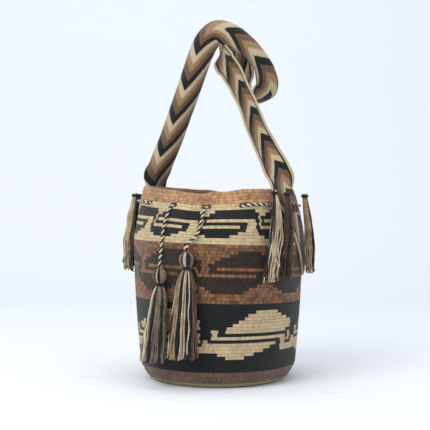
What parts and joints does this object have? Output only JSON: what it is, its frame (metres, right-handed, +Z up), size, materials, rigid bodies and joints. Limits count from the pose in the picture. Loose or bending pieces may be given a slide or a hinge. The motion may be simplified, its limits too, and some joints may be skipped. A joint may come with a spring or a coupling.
{
  "type": "wayuu mochila bag",
  "caption": "Round-bottomed crocheted shoulder bag with a woven strap, a drawstring gathered mouth and yarn tassels.",
  "frame": {"origin": "centre of the flat base, on the surface that the bag stands on", "axes": "+Z up through the mouth; X along the long axis of the oval mouth, from one sewn strap end to the other; -Y is the front, where the drawstring's tassels hang"},
  "size_m": [0.2915, 0.2739, 0.5359],
  "materials": {
    "bag_crochet": "tight crochet of mercerised cotton yarn in cream, tan-brown, dark brown and black",
    "strap_weave": "ply-split braided cotton band with chevrons in black, cream, tan and brown",
    "seam_thread": "black cotton thread",
    "drawstring_cord": "two-ply twisted cotton cord, one ply black and one cream",
    "tassel_yarn": "loose cotton yarns in black, cream and tan",
    "binding_thread": "black cotton thread",
    "fringe_cream": "loose cream cotton yarns",
    "fringe_brown": "loose brown cotton yarns",
    "fringe_black": "loose black cotton yarns"
  },
  "bodies": {
    "root": {"bag_body": "bag_crochet", "strap": "strap_weave", "left_seam_thread": "seam_thread", "right_seam_thread": "seam_thread", "drawstring": "drawstring_cord", "left_tassel_yarn": "tassel_yarn", "left_tassel_binding": "binding_thread", "right_tassel_yarn": "tassel_yarn", "right_tassel_binding": "binding_thread", "right_front_fringe": "fringe_cream", "right_front_fringe_binding": "binding_thread", "right_middle_fringe": "fringe_brown", "right_middle_fringe_binding": "binding_thread", "right_back_fringe": "fringe_black", "right_back_fringe_binding": "binding_thread", "left_front_fringe": "fringe_cream", "left_front_fringe_binding": "binding_thread", "left_middle_fringe": "fringe_black", "left_middle_fringe_binding": "binding_thread", "left_back_fringe": "fringe_brown", "left_back_fringe_binding": "binding_thread"}
  },
  "joints": []
}
